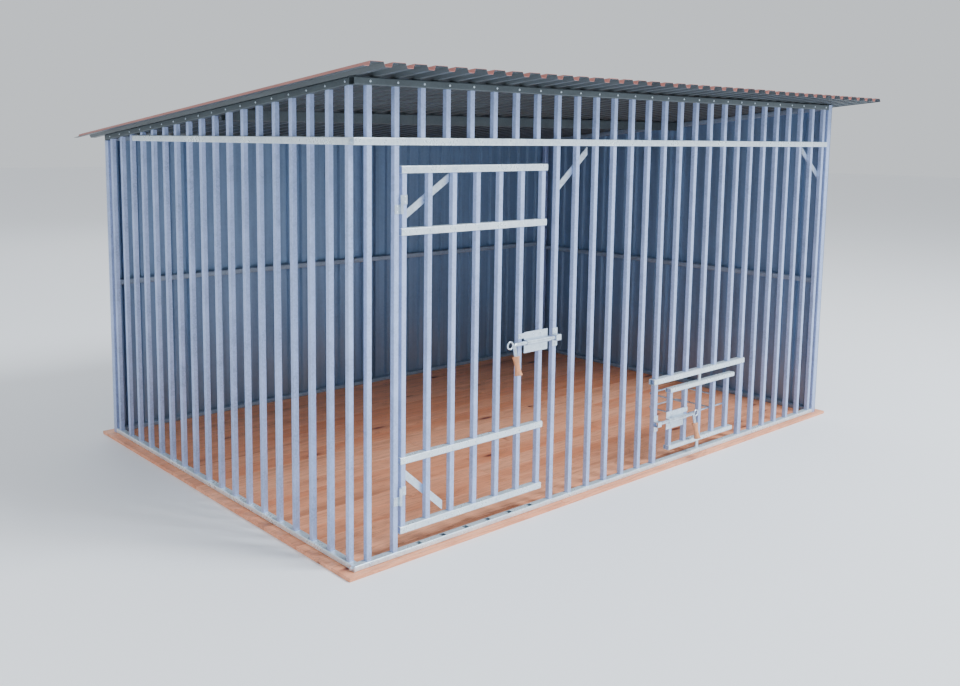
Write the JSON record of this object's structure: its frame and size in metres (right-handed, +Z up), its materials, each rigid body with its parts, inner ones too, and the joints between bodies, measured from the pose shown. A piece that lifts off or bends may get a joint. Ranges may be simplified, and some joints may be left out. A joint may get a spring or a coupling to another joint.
{
  "type": "barred animal pen with sheet roof",
  "caption": "Free-standing galvanised barred pen with plank floor, sloping ribbed roof, hinged barred door, turning feeder hatch and sliding bolts",
  "frame": {"origin": "Middle of the floor's underside, on the ground", "axes": "+X along the long front towards the closed right side, +Y from the barred front to the closed rear, +Z up"},
  "size_m": [3.2436, 2.3047, 1.6542],
  "materials": {
    "tube_steel": "Hot-dip galvanised square tube, matt with a faint spangle",
    "rail_steel": "Hot-dip galvanised rail tube, brighter than the bars",
    "fittings_steel": "Zinc-plated fittings, slightly shinier than the tubes",
    "wall_sheet": "Zinc-coated ribbed sheet, satin, with soft streaks",
    "roof_sheet": "Ribbed sheet, dull red enamel on top and dark grey-green primer underneath",
    "floor_wood": "Sawn pine planks, oiled, with darker knots and streaks",
    "grip_wood": "Turned and varnished wooden handle"
  },
  "bodies": {
    "pen": {"floor_boards": "floor_wood", "floor_battens": "floor_wood", "front_bottom_rail": "rail_steel", "front_mid_rail": "rail_steel", "front_top_rail": "rail_steel", "left_bottom_rail": "rail_steel", "left_mid_rail": "rail_steel", "left_top_rail": "rail_steel", "rear_rails": "rail_steel", "right_rails": "rail_steel", "roof_purlin": "rail_steel", "hatch_header": "rail_steel", "corner_posts": "tube_steel", "front_bars_left": "tube_steel", "front_bars_middle": "tube_steel", "front_bars_right": "tube_steel", "front_bars_over_door": "tube_steel", "front_bars_over_hatch": "tube_steel", "left_bars": "tube_steel", "hatch_post_strips": "tube_steel", "roof_sheet_1": "roof_sheet", "roof_sheet_2": "roof_sheet", "roof_sheet_3": "roof_sheet", "rear_sheets": "wall_sheet", "right_sheets": "wall_sheet", "roof_screws": "fittings_steel", "rail_rivets": "fittings_steel", "wall_braces": "fittings_steel", "corner_caps": "fittings_steel", "hinge_frame_halves": "fittings_steel", "hinge_frame_screws": "fittings_steel", "door_keeper": "fittings_steel", "door_keeper_screws": "fittings_steel", "hatch_keeper": "fittings_steel", "hatch_keeper_screws": "fittings_steel", "hatch_header_rivets": "fittings_steel"},
    "door": {"door_stiles": "tube_steel", "door_bars": "tube_steel", "door_rails": "rail_steel", "door_braces": "fittings_steel", "door_rivets": "fittings_steel", "hinge_door_halves": "fittings_steel", "hinge_door_screws": "fittings_steel", "door_bolt_plate": "fittings_steel", "door_bolt_rivets": "fittings_steel"},
    "door_bolt": {"door_bolt_rod": "fittings_steel", "door_bolt_grip": "grip_wood"},
    "hatch": {"hatch_bars": "tube_steel", "hatch_rails": "rail_steel", "hatch_rivets": "fittings_steel", "hatch_pivots": "fittings_steel", "hatch_bowl_rack": "fittings_steel", "hatch_bolt_plate": "fittings_steel", "hatch_bolt_rivets": "fittings_steel"},
    "hatch_bolt": {"hatch_bolt_rod": "fittings_steel", "hatch_bolt_grip": "grip_wood"}
  },
  "joints": [
    {"name": "door_hinge", "type": "hinge", "parent": "pen", "child": "door", "pos_m": [-1.3115, -1.0015, 0.721], "axis": [0, 0, -1], "range_deg": [0, 110]},
    {"name": "door_bolt_slide", "type": "slide", "parent": "door", "child": "door_bolt", "axis": [1, 0, 0], "range_m": [0, 0.052]},
    {"name": "hatch_pivot", "type": "hinge", "parent": "pen", "child": "hatch", "pos_m": [0.432, -0.985, 0.221], "axis": [0, 0, 1], "range_deg": [-180, 180]},
    {"name": "hatch_bolt_slide", "type": "slide", "parent": "hatch", "child": "hatch_bolt", "axis": [-1, 0, 0], "range_m": [0, 0.052]}
  ]
}
